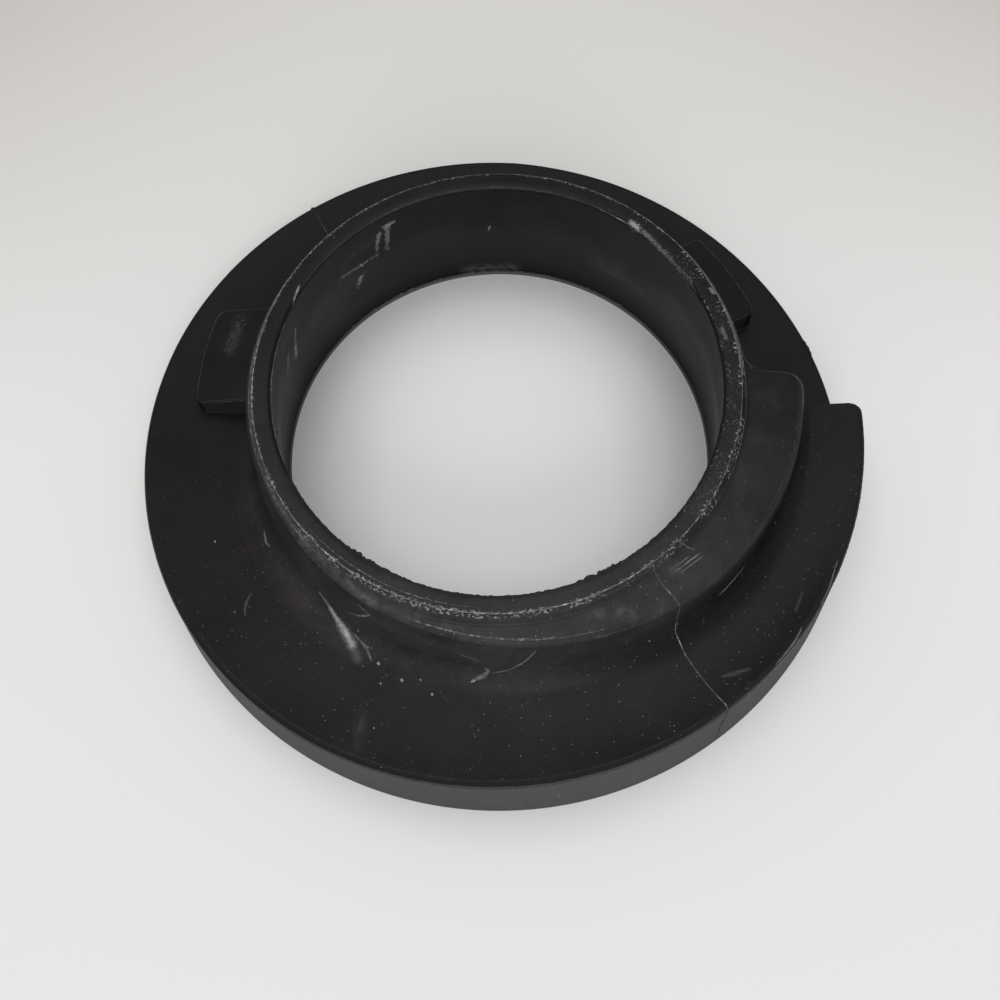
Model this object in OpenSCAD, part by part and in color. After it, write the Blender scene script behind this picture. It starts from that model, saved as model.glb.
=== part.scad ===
// Coil spring insulator: one moulded rubber ring that sits under the end of a coil spring.
// Origin: centre of the bore on the flat underside. +Z up through the neck, azimuth 0 along +X.
// The low end of the spring's ramp starts at azimuth 0 and climbs counter-clockwise to the step.

/* [Neck] */
// Full height, underside to rim
neck_h = 39.6; // [37:0.2:48]
// Outer diameter of the flat rim on top
rim_d = 100; // [96:0.5:106]
// Bore diameter at the rim
bore_top_d = 92.4; // [86:0.2:94]
// Bore diameter at the underside
bore_base_d = 100; // [94:0.5:104]
// Width of the sloped band outside the rim
rim_step = 1.5; // [0.6:0.1:3]
// Height of the sloped band outside the rim
rim_drop = 2.5; // [1:0.1:4]
// Width of the small bevel at the bore's upper edge
bore_bevel = 1; // [0.3:0.1:1.5]

/* [Flange] */
// Diameter of the underside
base_d = 166; // [160:1:180]
// Draft of every outward wall, in degrees
wall_draft = 8.5; // [4:0.5:12]
// Height of the outer lip at the low end
lip_low = 2; // [1.9:0.1:4]
// Height of the outer lip at the high end
lip_high = 24; // [16:0.5:26]
// Azimuth at which the lip starts to climb
ramp_start = 20; // [10:1:60]
// Rounding of the lip's edge
lip_round = 0.9; // [0.4:0.1:1]
// How far the lip's wall stands in from the drafted wall at the low end
low_inset = 1.4; // [0.4:0.1:2.5]
// Azimuth at which that wall starts to swing out
inset_start = 30; // [20:1:50]
// Degrees over which it swings out past the drafted wall
inset_span = 110; // [80:1:130]

/* [Spring groove] */
// Radius of the groove, half of the spring wire
groove_r = 7; // [5:0.25:8]
// Depth of the groove below the lip
groove_depth = 2.4; // [0.5:0.1:3.5]
// Radius of the groove where it runs out at the step
end_r = 3; // [1.5:0.1:5]
// Depth of the groove where it runs out at the step
end_depth = 0.4; // [0.1:0.1:1]
// Degrees before the step over which the groove runs out
runout = 45; // [20:1:90]
// Thinnest rubber under the groove
web_min = 1.6; // [1:0.1:1.8]
// Azimuth of the upper edge of the step at the ramp's high end
step_az = 358.5; // [354:0.1:358.6]
// Degrees that the step's sloped face takes
step_run = 1.4; // [0.8:0.1:1.6]
// Plan rounding of the step's outer corner
step_corner = 2.2; // [1:0.1:3]

/* [Shoulder] */
// Diameter of the shoulder beside the rim
shoulder_d = 117.8; // [114:0.2:122]
// Shoulder centre, right of the bore axis
shoulder_x = 5.5; // [3:0.05:6]
// Shoulder centre, behind the bore axis
shoulder_y = 3.25; // [2:0.05:5]
// Slope of the shoulder's top, in degrees
shoulder_tilt = 11.3; // [4:0.1:16]
// Azimuth at which the shoulder starts to leave the neck
shoulder_start = 195; // [180:1:230]
// Degrees over which the shoulder grows to its full width
shoulder_grow = 45; // [20:1:70]
// Azimuth of the shoulder's end face
end_az = 0.4; // [0.3:0.1:1]
// Plan rounding of the shoulder's outer corner
corner_r = 3; // [1:0.1:4]
// Plan fillet between the shoulder's end face and the neck
end_fillet = 4.5; // [2:0.1:6]
// Rounding of the shoulder's upper edge from the parting line to its end
edge_round = 2.4; // [1:0.1:3]
// Rounding of that edge before the parting line
front_round = 1; // [0.4:0.1:1.5]
// Azimuth of the parting line where the rounding changes
parting_az = 304; // [290:1:320]

/* [Lugs] */
// Direction of the right lug's sides
lug_right_dir = 29; // [26:0.5:60]
// Right lug's front side, left of the line through the bore axis in that direction
lug_right_side = -3.5; // [-4:0.5:10]
// Direction of the left lug's sides
lug_left_dir = 177.5; // [160:0.5:179]
// Left lug's back side, left of the line through the bore axis in that direction
lug_left_side = -30.8; // [-32:0.2:-20]
// Width of each lug between its parallel sides
lug_w = 24.6; // [14:0.2:30]
// Diameter of the circle that the lugs' outer faces follow
lug_d = 136.7; // [130:0.1:140]
// That circle's centre, right of the bore axis
lug_x = -1.25; // [-2:0.05:2]
// That circle's centre, behind the bore axis
lug_y = 10.5; // [4:0.25:11]
// Height of the lugs' outer edge above the groove's floor
lug_rise = 6.5; // [3:0.25:8]
// Rounding of the lugs' outer upper edge
lug_round = 0.8; // [0.3:0.1:1.5]

/* [Hidden] */
$fn = 180;
rubber = [0.10, 0.10, 0.105];

// Points on each curved stretch of the section
EDGE_N = 4;
FILLET_N = 6;
FLOOR_N = 5;
// Angle between two sections on the plain part of the ring
RING_STEP = 3;
// Half-gap between the two sections that form the shoulder's end face
END_GAP = 0.15;
// Least ledge kept outside the rim's band, so that no two points of a section meet
LEDGE = 0.3;
// How far the swept wall stays clear of the drafted wall that trims it
CLEAR = 0.3;
// How far the swept ring runs past the faces that trim it
PAST = 8;

draft_k = tan(wall_draft);
tilt_k = tan(shoulder_tilt);
base_r = base_d / 2;
rim_r = rim_d / 2;
neck_top_r = rim_r + rim_step;
neck_top_z = neck_h - rim_drop;
core_r = min(bore_top_d, bore_base_d) / 2 - bore_bevel - PAST;
fillet_deg = end_fillet / neck_top_r * 180 / PI;
corner_deg = step_corner / base_r * 180 / PI;
ramp_end = 360;

function unit(t) = max(0, min(1, t));
function ease(t) = (1 - cos(180 * unit(t))) / 2;
function outer_r(z) = base_r - z * draft_k;

// Plan curve of a round of radius r, at distance d from the face that it runs into
function round_drop(r, d) = d >= r ? 0 : r - sqrt(max(0, r * r - (r - d) * (r - d)));

// Share of the step that is left at azimuth a: 1 on the ramp, 0 past the step's foot
function step_share(a) = 1 - unit((a - step_az) / step_run);

function ramp_z(a) = lip_low + (lip_high - lip_low) * ease((a - ramp_start) / (ramp_end - ramp_start));
function lip_z(a) = lip_low + (ramp_z(a) - lip_low) * step_share(a);

// Share of the groove's run-out: 0 on the open ramp, 1 at the step, 0 again past its foot
function run_share(a) = ease((a - step_az + runout) / runout) * step_share(a);
function seat_r(a) = groove_r + (end_r - groove_r) * run_share(a);
function seat_depth(a) = groove_depth + (end_depth - groove_depth) * run_share(a);
function floor_z(a) = max(web_min, lip_z(a) - seat_depth(a));

// How far the swept outer wall stands inside the drafted one: below 0 it is outside and trimmed away
function swing_in(a) =
    let (low = low_inset * cos(180 * unit((a - inset_start) / inset_span)))
    low_inset + (low - low_inset) * step_share(a);
function corner_in(a) =
    round_drop(step_corner, max(0, step_az - a) * PI / 180 * base_r) * step_share(a) - CLEAR;
function wall_in(a) = max(swing_in(a), corner_in(a));

// Distance from the bore axis to the shoulder's circle
function toward_shoulder(a) = shoulder_x * cos(a) + shoulder_y * sin(a);
function shoulder_r(a) =
    let (t = toward_shoulder(a), r = shoulder_d / 2)
    t + sqrt(r * r - shoulder_x * shoulder_x - shoulder_y * shoulder_y + t * t);

// How far the ledge stands out from the neck: the shoulder, its corner, and the fillet behind it
function shoulder_out(a) =
    (shoulder_r(a) - neck_top_r) * ease((a - shoulder_start) / shoulder_grow)
    - round_drop(corner_r, (360 + end_az - a) * PI / 180 * shoulder_r(a));
function fillet_out(a) = round_drop(end_fillet, (a - end_az - END_GAP) * PI / 180 * neck_top_r);
function ledge(a) = max(LEDGE, shoulder_out(a), fillet_out(a));

// Rounding of the ledge's upper edge, never more than a narrow ledge can carry
function edge_r(a) =
    min(LEDGE + ledge(a) / 4, front_round + (edge_round - front_round) * ease((a - parting_az) / RING_STEP));

// Quadratic blend from p to q with the corner c between them
function blend(p, c, q, n) =
    [for (i = [0:n]) let (t = i / n) (1 - t) * (1 - t) * p + 2 * t * (1 - t) * c + t * t * q];

// Section of the ring at azimuth a, as [radius, height] from the core to the outside
function section(a) =
    let (
        out = ledge(a),
        start = [neck_top_r, neck_top_z],
        corner = start + out * [1, -tilt_k],
        soft = edge_r(a),
        before = corner - min(soft, out / 2) * [1, -tilt_k],
        after = corner + soft * [draft_k, -1],
        seat = seat_r(a),
        floor = floor_z(a),
        arc_z = floor + seat,
        arc_r = corner.x + (corner.y - arc_z) * draft_k + seat / cos(wall_draft),
        lip = lip_z(a),
        inset = wall_in(a),
        lip_start = outer_r(lip) - max(0, inset) - lip_round,
        rim_k = rim_step / rim_drop
    )
    concat(
        [[core_r, -PAST], [core_r, neck_h + 1], [rim_r - rim_k, neck_h + 1], start],
        blend(before, corner, after, EDGE_N),
        [for (i = [0:FILLET_N])
            let (b = 180 + wall_draft + (90 - wall_draft) * i / FILLET_N)
            [arc_r + seat * cos(b), arc_z + seat * sin(b)]],
        [for (i = [1:FLOOR_N])
            let (t = i / FLOOR_N)
            [arc_r + (lip_start - arc_r) * t, floor + (lip - floor) * t * t]],
        [
            [lip_start + 0.55 * lip_round, lip - 0.05 * lip_round],
            [lip_start + 0.95 * lip_round, lip - 0.50 * lip_round],
            [outer_r(lip - 2 * lip_round) - inset, lip - 2 * lip_round],
            [outer_r(-PAST) - inset, -PAST]
        ]
    );

// Azimuths of the sections: close together round the shoulder's end and the step
open_az = end_az + END_GAP + fillet_deg;
close_az = step_az - RING_STEP;
plain_n = ceil((close_az - open_az) / RING_STEP);
foot_az = step_az + step_run;
azimuths = concat(
    [for (i = [0:4]) end_az + END_GAP + fillet_deg * i / 5],
    [for (i = [0:plain_n]) open_az + (close_az - open_az) * i / plain_n],
    [for (i = [3:-1:0]) step_az - corner_deg * i * i / 9],
    [for (i = [1:2]) step_az + step_run * i / 2],
    [for (i = [1:2]) foot_az + (360 + end_az - foot_az) * i / 2]
);

// Ring swept round the bore axis through every section, closed on itself
module swept_ring() {
    sections = [for (a = azimuths) section(a)];
    m = len(azimuths);
    n = len(sections[0]);
    points = [for (i = [0:m - 1]) for (p = sections[i]) [p.x * cos(azimuths[i]), p.x * sin(azimuths[i]), p.y]];
    faces = [
        for (i = [0:m - 1]) for (j = [0:n - 1])
            let (
                here = i * n,
                next = ((i + 1) % m) * n,
                k = (j + 1) % n
            )
            each [[here + j, next + k, here + k], [here + j, next + j, next + k]]
    ];
    polyhedron(points = points, faces = faces, convexity = 6);
}

// Space that the part may fill: flat underside, drafted outer wall, flat rim
module envelope() {
    rotate_extrude()
        polygon([[0, 0], [base_r, 0], [outer_r(neck_h), neck_h], [0, neck_h]]);
}

// Tapered bore with a small bevel at the rim
module bore() {
    taper = (bore_base_d - bore_top_d) / 2 / neck_h;
    top_r = bore_top_d / 2;
    rotate_extrude()
        polygon([
            [0, -1],
            [bore_base_d / 2 + taper, -1],
            [top_r + taper * bore_bevel, neck_h - bore_bevel],
            [top_r + bore_bevel + 1, neck_h + 1],
            [0, neck_h + 1]
        ]);
}

// One lug: a parallel-sided slab cut from a drafted disc whose axis stands behind the bore's
module lug(dir, side) {
    mid_az = dir + asin((side + lug_w / 2) / (lug_d / 2));
    edge_z = floor_z(mid_az) + lug_rise;
    top_r = lug_d / 2;
    foot_z = web_min / 2;
    intersection() {
        translate([lug_x, lug_y, 0])
            rotate_extrude()
                polygon(concat(
                    [[0, foot_z], [top_r + (edge_z - foot_z) * draft_k, foot_z]],
                    blend([top_r + lug_round * draft_k, edge_z - lug_round], [top_r, edge_z],
                        [top_r - lug_round, edge_z + lug_round * draft_k], EDGE_N),
                    [[0, edge_z + top_r * draft_k]]
                ));
        rotate(dir)
            translate([0, side, 0])
                cube([base_r, lug_w, neck_top_z]);
    }
}

// The whole moulding
module insulator() {
    color(rubber)
        difference() {
            union() {
                intersection() {
                    swept_ring();
                    envelope();
                }
                lug(lug_right_dir, lug_right_side);
                lug(lug_left_dir, lug_left_side);
            }
            bore();
        }
}

insulator();
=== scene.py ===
"""Coil spring insulator: one moulded rubber ring with its mould flash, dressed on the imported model.

Sizes in the classes are millimetres and degrees, azimuth 0 along +X; MM turns lengths into metres.
"""

import logging
import math
from dataclasses import dataclass, field, fields
from enum import Enum
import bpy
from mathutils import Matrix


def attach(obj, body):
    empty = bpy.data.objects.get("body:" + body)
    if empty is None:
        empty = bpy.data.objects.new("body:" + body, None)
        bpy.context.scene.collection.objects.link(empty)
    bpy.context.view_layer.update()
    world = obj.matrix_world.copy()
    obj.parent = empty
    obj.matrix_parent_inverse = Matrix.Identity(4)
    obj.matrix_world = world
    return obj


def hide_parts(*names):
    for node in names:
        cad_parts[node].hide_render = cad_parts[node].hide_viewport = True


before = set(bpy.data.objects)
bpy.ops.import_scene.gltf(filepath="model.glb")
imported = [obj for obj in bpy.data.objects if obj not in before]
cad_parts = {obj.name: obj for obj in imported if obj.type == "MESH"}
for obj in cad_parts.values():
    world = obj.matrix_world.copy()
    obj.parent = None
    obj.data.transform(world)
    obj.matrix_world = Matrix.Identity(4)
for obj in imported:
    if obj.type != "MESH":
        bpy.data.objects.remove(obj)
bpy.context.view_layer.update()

from types import SimpleNamespace
from typing import Iterable, Sequence

import bpy
from mathutils import Matrix, Vector

LOG = logging.getLogger("insulator")

MM = 0.001
BODY = "root"
NODE = "insulator"

Value = "Number | float"
Triple = tuple[float, float, float]


class Number:
    """A number that writes its arithmetic as named operations, each built or worked out by math."""

    def math(self, operation: str, *others: Value, clamp: bool = False) -> "Number":
        """Result of one operation, which each kind of number makes in its own way."""
        raise NotImplementedError

    def __add__(self, other: Value) -> "Number":
        """Sum."""
        return self.math("ADD", other)

    def __radd__(self, other: float) -> "Number":
        """Sum with a plain value first."""
        return self.math("ADD", other)

    def __sub__(self, other: Value) -> "Number":
        """Difference."""
        return self.math("SUBTRACT", other)

    def __rsub__(self, other: float) -> "Number":
        """Difference from a plain value."""
        return self.math("MULTIPLY_ADD", -1.0, other)

    def __mul__(self, other: Value) -> "Number":
        """Product."""
        return self.math("MULTIPLY", other)

    def __rmul__(self, other: float) -> "Number":
        """Product with a plain value first."""
        return self.math("MULTIPLY", other)

    def __truediv__(self, other: Value) -> "Number":
        """Quotient."""
        return self.math("DIVIDE", other)

    def __neg__(self) -> "Number":
        """The number with its sign turned."""
        return self.math("MULTIPLY", -1.0)

    def unit(self) -> "Number":
        """The number held between 0 and 1."""
        return self.math("ADD", 0.0, clamp=True)

    def least(self, other: Value) -> "Number":
        """The smaller of two numbers."""
        return self.math("MINIMUM", other)

    def most(self, other: Value) -> "Number":
        """The larger of two numbers."""
        return self.math("MAXIMUM", other)

    def root(self) -> "Number":
        """Square root, 0 below 0."""
        return self.most(0.0).math("SQRT")

    def power(self, exponent: float) -> "Number":
        """The number raised to a power."""
        return self.math("POWER", exponent)

    def cos(self) -> "Number":
        """Cosine of degrees."""
        return (self * math.radians(1)).math("COSINE")

    def sin(self) -> "Number":
        """Sine of degrees."""
        return (self * math.radians(1)).math("SINE")

    def ease(self) -> "Number":
        """A soft climb from 0 to 1 as the number goes from 0 to 1."""
        return (1 - (self.unit() * 180).cos()) / 2

    def climb(self, low: float, high: float) -> "Number":
        """0 up to low, 1 from high, and a straight climb between them."""
        return ((self - low) / (high - low)).unit()

    def between(self, low: float, high: float, soft: float) -> "Number":
        """1 where the number lies between low and high, falling to 0 over soft on each side."""
        return self.climb(low - soft, low) * (1 - self.climb(high, high + soft))


class Field(Number):
    """A number that changes over a mesh or a surface, built as math nodes."""

    def __init__(self, tree: bpy.types.NodeTree, socket: bpy.types.NodeSocket) -> None:
        """Keeps the tree and the output socket that gives the number."""
        self.tree = tree
        self.socket = socket

    def math(self, operation: str, *others: Value, clamp: bool = False) -> "Field":
        """Builds one math node.

        Args:
            operation: Name of the math node's operation.
            others: Its second and third numbers.
            clamp: Whether the result stays between 0 and 1.

        Returns:
            The node's result.
        """
        node = self.tree.nodes.new("ShaderNodeMath")
        node.operation = operation
        node.use_clamp = clamp
        for socket, value in zip(node.inputs, (self, *others)):
            feed(self.tree, socket, value)
        return Field(self.tree, node.outputs[0])


class Plain(Number):
    """A plain value that answers the same arithmetic, so that a rule also gives points for paths."""

    STEPS = {
        "ADD": lambda a, b: a + b,
        "SUBTRACT": lambda a, b: a - b,
        "MULTIPLY": lambda a, b: a * b,
        "MULTIPLY_ADD": lambda a, b, c: a * b + c,
        "DIVIDE": lambda a, b: a / b if b else 0.0,
        "POWER": lambda a, b: a**b if a > 0 else 0.0,
        "SQRT": math.sqrt,
        "MINIMUM": min,
        "MAXIMUM": max,
        "COSINE": math.cos,
        "SINE": math.sin,
        "TANGENT": math.tan,
        "LESS_THAN": lambda a, b: float(a < b),
    }

    def __init__(self, value: float) -> None:
        """Keeps the value."""
        self.value = value

    def math(self, operation: str, *others: Value, clamp: bool = False) -> "Plain":
        """Works out one operation, as the math node of that name would."""
        result = self.STEPS[operation](*(v.value if isinstance(v, Plain) else v for v in (self, *others)))
        return Plain(min(1.0, max(0.0, result)) if clamp else result)


def feed(tree: bpy.types.NodeTree, socket: bpy.types.NodeSocket, value: object) -> None:
    """Links a field or a socket to a node's input, or sets the input to a plain value."""
    if isinstance(value, Field):
        tree.links.new(value.socket, socket)
    elif isinstance(value, bpy.types.NodeSocket):
        tree.links.new(value, socket)
    else:
        socket.default_value = value


def add_node(tree: bpy.types.NodeTree, kind: str, inputs: dict | None = None, **settings: object) -> bpy.types.Node:
    """Adds a node.

    Args:
        tree: The tree that gets it.
        kind: Blender's name of the node type.
        inputs: Values, fields or sockets for its inputs, by name or number.
        settings: Values for its own properties.

    Returns:
        The node.
    """
    node = tree.nodes.new(kind)
    for name, value in settings.items():
        setattr(node, name, value)
    for name, value in (inputs or {}).items():
        feed(tree, node.inputs[name], value)
    return node


def round_drop(radius: Number, distance: Number) -> Number:
    """Height that a round takes away at a distance from the face that it runs into.

    Args:
        radius: Radius of the round.
        distance: Distance from the face.

    Returns:
        The radius at the face, falling to 0 where the round ends.
    """
    depth = (radius - distance).most(0.0)
    return radius - (radius * radius - depth * depth).root()


@dataclass
class Spot:
    """A point of the section: its distance from the bore axis and its height."""

    r: Value
    z: Value

    def __add__(self, other: "Spot") -> "Spot":
        """Sum of two spots."""
        return Spot(self.r + other.r, self.z + other.z)

    def __sub__(self, other: "Spot") -> "Spot":
        """Step from another spot to this one."""
        return Spot(self.r - other.r, self.z - other.z)

    def times(self, k: Value) -> "Spot":
        """The spot scaled by a number."""
        return Spot(self.r * k, self.z * k)

    def toward(self, other: "Spot", distance: Value) -> "Spot":
        """The point that lies a distance from this one on the way to another."""
        step = other - self
        return self + step.times(distance / (step.r * step.r + step.z * step.z).root())


def line(p: Spot, q: Spot, t: Number) -> Spot:
    """The point a share t of the way from p to q."""
    return p + (q - p).times(t)


def bend(p: Spot, corner: Spot, q: Spot, t: Number) -> Spot:
    """The point a share t along the round from p to q that the corner draws out."""
    return line(line(p, corner, t), line(corner, q, t), t)


def new_tree(
    name: str, sizes: dict[str, float], others: Sequence[str] = ()
) -> tuple[bpy.types.NodeTree, SimpleNamespace, bpy.types.NodeSocket]:
    """Starts a geometry tree with a named input for each size.

    Args:
        name: The tree's name.
        sizes: The sizes that become inputs, with their usual values.
        others: Names of inputs that take an object.

    Returns:
        The tree, its sizes as fields, and the socket of the geometry that comes in.
    """
    tree = bpy.data.node_groups.new(name, "GeometryNodeTree")
    tree.is_modifier = True
    tree.interface.new_socket("Geometry", in_out="INPUT", socket_type="NodeSocketGeometry")
    for size, value in sizes.items():
        socket = tree.interface.new_socket(size, in_out="INPUT", socket_type="NodeSocketFloat")
        socket.default_value = value
    for other in others:
        tree.interface.new_socket(other, in_out="INPUT", socket_type="NodeSocketObject")
    tree.interface.new_socket("Material", in_out="INPUT", socket_type="NodeSocketMaterial")
    tree.interface.new_socket("Geometry", in_out="OUTPUT", socket_type="NodeSocketGeometry")
    entry = tree.nodes.new("NodeGroupInput")
    made = SimpleNamespace(**{size: Field(tree, entry.outputs[size]) for size in sizes})
    for other in (*others, "Material"):
        setattr(made, other.lower(), entry.outputs[other])
    return tree, made, entry.outputs["Geometry"]


def carried(tree: bpy.types.NodeTree, name: str, kind: str = "FLOAT") -> Field:
    """A number that each point of the geometry carries as an attribute."""
    node = add_node(tree, "GeometryNodeInputNamedAttribute", data_type=kind)
    node.inputs["Name"].default_value = name
    return Field(tree, node.outputs["Attribute"])


def end_tree(tree: bpy.types.NodeTree, geometry: bpy.types.NodeSocket, material: bpy.types.NodeSocket) -> None:
    """Ends a geometry tree: metres, realized instances and the material."""
    metres = add_node(tree, "GeometryNodeTransform", {"Geometry": geometry, "Scale": (MM, MM, MM)})
    real = add_node(tree, "GeometryNodeRealizeInstances", {"Geometry": metres.outputs[0]})
    dressed = add_node(tree, "GeometryNodeSetMaterial", {"Geometry": real.outputs[0], "Material": material})
    out = tree.nodes.new("NodeGroupOutput")
    tree.links.new(dressed.outputs[0], out.inputs["Geometry"])


def run_tree(obj: bpy.types.Object, tree: bpy.types.NodeTree, values: dict[str, object]) -> None:
    """Puts a geometry tree on an object and sets its inputs by their identifiers."""
    modifier = obj.modifiers.new(tree.name, "NODES")
    modifier.node_group = tree
    for item in tree.interface.items_tree:
        if item.in_out == "INPUT" and item.name in values:
            modifier[item.identifier] = values[item.name]


def plain_mesh(obj: bpy.types.Object, name: str) -> bpy.types.Object:
    """Turns an object's evaluated shape into a plain mesh object and removes the object that drew it.

    Args:
        obj: The object with its modifiers.
        name: The new object's name.

    Returns:
        The new object, at the origin.
    """
    graph = bpy.context.evaluated_depsgraph_get()
    mesh = bpy.data.meshes.new_from_object(obj.evaluated_get(graph), depsgraph=graph)
    mesh.name = name
    bpy.data.objects.remove(obj)
    made = bpy.data.objects.new(name, mesh)
    bpy.context.scene.collection.objects.link(made)
    return made


def mesh_object(name: str, points: Sequence[Sequence[float]], edges: Sequence = (), faces: Sequence = ()) -> bpy.types.Object:
    """Makes a mesh object from points, edges and faces, and links it to the scene."""
    mesh = bpy.data.meshes.new(name)
    mesh.from_pydata([tuple(p) for p in points], list(edges), list(faces))
    made = bpy.data.objects.new(name, mesh)
    bpy.context.scene.collection.objects.link(made)
    return made


def lattice_faces(columns: int, rows: int, close_columns: bool = True) -> list[tuple[int, int, int, int]]:
    """Faces of a lattice whose rows close on themselves, its points listed column by column."""
    last = columns if close_columns else columns - 1
    return [
        (i * rows + j, i * rows + (j + 1) % rows, ((i + 1) % columns) * rows + (j + 1) % rows, ((i + 1) % columns) * rows + j)
        for i in range(last)
        for j in range(rows)
    ]


def finish_piece(piece: bpy.types.Object, replaces: bool = False) -> None:
    """Rides a piece on the part's body and reports it."""
    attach(piece, BODY)
    if replaces:
        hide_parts(NODE)
    piece.data.calc_loop_triangles()
    LOG.info("%s: %d triangles", piece.name, len(piece.data.loop_triangles))


class Band(Enum):
    """The stretches of the ring's section, in order from the rim outwards and back up the bore."""

    RIM = 0
    RIM_EDGE = 1
    SLOPE = 2
    SHOULDER = 3
    SHOULDER_EDGE = 4
    NECK = 5
    GROOVE = 6
    RAMP = 7
    LIP = 8
    WALL = 9
    FOOT = 10
    UNDERSIDE = 11
    BORE_FOOT = 12
    BORE = 13
    BEVEL = 14


STATIONS: dict[Band, int] = {
    Band.RIM: 4, Band.RIM_EDGE: 4, Band.SLOPE: 4, Band.SHOULDER: 9, Band.SHOULDER_EDGE: 7, Band.NECK: 6,
    Band.GROOVE: 10, Band.RAMP: 14, Band.LIP: 6, Band.WALL: 6, Band.FOOT: 2, Band.UNDERSIDE: 4,
    Band.BORE_FOOT: 4, Band.BORE: 10, Band.BEVEL: 5,
}


@dataclass
class Moulding:
    """The rubber ring: neck, flange with its spiral spring groove, step, shoulder and two lugs."""

    neck_h: float = 39.6
    rim_d: float = 100.0
    bore_top_d: float = 92.4
    bore_base_d: float = 100.0
    rim_step: float = 1.5
    rim_drop: float = 2.5
    bore_bevel: float = 1.0
    base_d: float = 166.0
    draft: float = 8.5
    lip_low: float = 2.0
    lip_high: float = 24.0
    ramp_start: float = 20.0
    lip_round: float = 0.9
    low_inset: float = 1.4
    inset_start: float = 30.0
    inset_span: float = 110.0
    groove_r: float = 7.0
    groove_depth: float = 2.4
    end_r: float = 3.0
    end_depth: float = 0.4
    runout: float = 45.0
    web_min: float = 1.6
    step_az: float = 358.5
    step_run: float = 1.4
    step_corner: float = 2.2
    step_soft: float = 0.25
    shoulder_d: float = 117.8
    shoulder_x: float = 5.5
    shoulder_y: float = 3.25
    tilt: float = 11.3
    shoulder_start: float = 195.0
    shoulder_grow: float = 45.0
    end_az: float = 0.4
    corner_r: float = 3.0
    end_fillet: float = 4.5
    end_round: float = 0.6
    edge_round: float = 2.4
    front_round: float = 1.0
    parting_az: float = 304.0
    ledge: float = 0.3
    small_round: float = 0.3
    foot_lip: float = 0.8
    foot_lip_h: float = 1.7
    waviness: float = 0.07
    end_gap: float = 0.15
    lug_w: float = 24.6
    lug_d: float = 136.7
    lug_x: float = -1.25
    lug_y: float = 10.5
    lug_rise: float = 6.5
    lug_round: float = 0.6
    lug_corners: dict[str, tuple[float, float]] = field(
        default_factory=lambda: {"lug_right": (1.4, 1.0), "lug_left": (2.4, 1.8)}
    )
    lug_edges: dict[str, list[Vector]] = field(default_factory=dict)
    lug_sides: dict[str, tuple[float, float]] = field(
        default_factory=lambda: {"lug_right": (29.0, -3.5), "lug_left": (177.5, -30.8)}
    )

    def azimuths(self) -> list[float]:
        """Azimuths of the ring's columns, close together round the shoulder's end and the step."""
        first, last = self.end_az + self.end_gap, 360 + self.end_az
        spans = (
            (first, 6.5, 22),
            (6.5, 300.0, 392),
            (300.0, 309.0, 24),
            (309.0, 352.0, 57),
            (352.0, self.step_az, 22),
            (self.step_az, self.step_az + self.step_run, 9),
            (self.step_az + self.step_run, last, 5),
        )
        made = [low + (high - low) * i / n for low, high, n in spans for i in range(n)]
        return made + [last]

    def sizes(self) -> dict[str, float]:
        """The moulding's single sizes by name."""
        return {f.name: getattr(self, f.name) for f in fields(self) if isinstance(getattr(self, f.name), float)}

    def point(self, a: float, band: Band, share: float, lift: float = 0.0) -> Vector:
        """A point of the surface in millimetres.

        Args:
            a: Its azimuth.
            band: The stretch of the section that it lies on.
            share: How far along that stretch it lies, from 0 to 1.
            lift: Height added to it.

        Returns:
            The point.
        """
        sizes = SimpleNamespace(**{name: Plain(value) for name, value in self.sizes().items()})
        first = self.end_az + self.end_gap
        shape, *spots = self.rule(sizes, Plain(first + (a - first) % 360))[band]
        spot = shape(*spots, Plain(share))
        r, turn = spot.r.value, math.radians(a)
        return Vector((r * math.cos(turn), r * math.sin(turn), spot.z.value + lift))

    def rule(self, s: SimpleNamespace, a: Number) -> dict[Band, tuple]:
        """The moulding's section as a rule of the azimuth.

        Args:
            s: The sizes as numbers.
            a: The azimuth in degrees.

        Returns:
            For each band, a function and its spots; called with them and a share it gives a spot.
        """
        to_radians = math.radians(1)
        draft_k = (s.draft * to_radians).math("TANGENT")
        tilt_k = (s.tilt * to_radians).math("TANGENT")
        base_r, rim_r = s.base_d / 2, s.rim_d / 2
        neck_r, neck_z = rim_r + s.rim_step, s.neck_h - s.rim_drop

        def outer_r(z: Number) -> Number:
            """Radius of the drafted outer wall at a height."""
            return base_r - draft_k * z

        past_step = ((a - s.step_az) / s.step_run).unit()
        soft, near = s.step_soft, past_step.math("LESS_THAN", s.step_soft)
        bent, straight = past_step * past_step / (soft * 2), past_step - soft / 2
        share = 1 - (bent * near + straight * (1 - near)) / (1 - soft / 2)
        ramp = s.lip_low + (s.lip_high - s.lip_low) * ((a - s.ramp_start) / (360 - s.ramp_start)).ease()
        lip = s.lip_low + (ramp - s.lip_low) * share
        run = ((a - s.step_az + s.runout) / s.runout).ease() * share
        seat = s.groove_r + (s.end_r - s.groove_r) * run
        floor = (lip - (s.groove_depth + (s.end_depth - s.groove_depth) * run)).most(s.web_min)

        swing = s.low_inset * (((a - s.inset_start) / s.inset_span).unit() * 180).cos()
        swing = s.low_inset + (swing - s.low_inset) * share
        corner_in = round_drop(s.step_corner, (s.step_az - a).most(0.0) * to_radians * base_r) * share
        inset = swing.most(corner_in).most(0.0)

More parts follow.
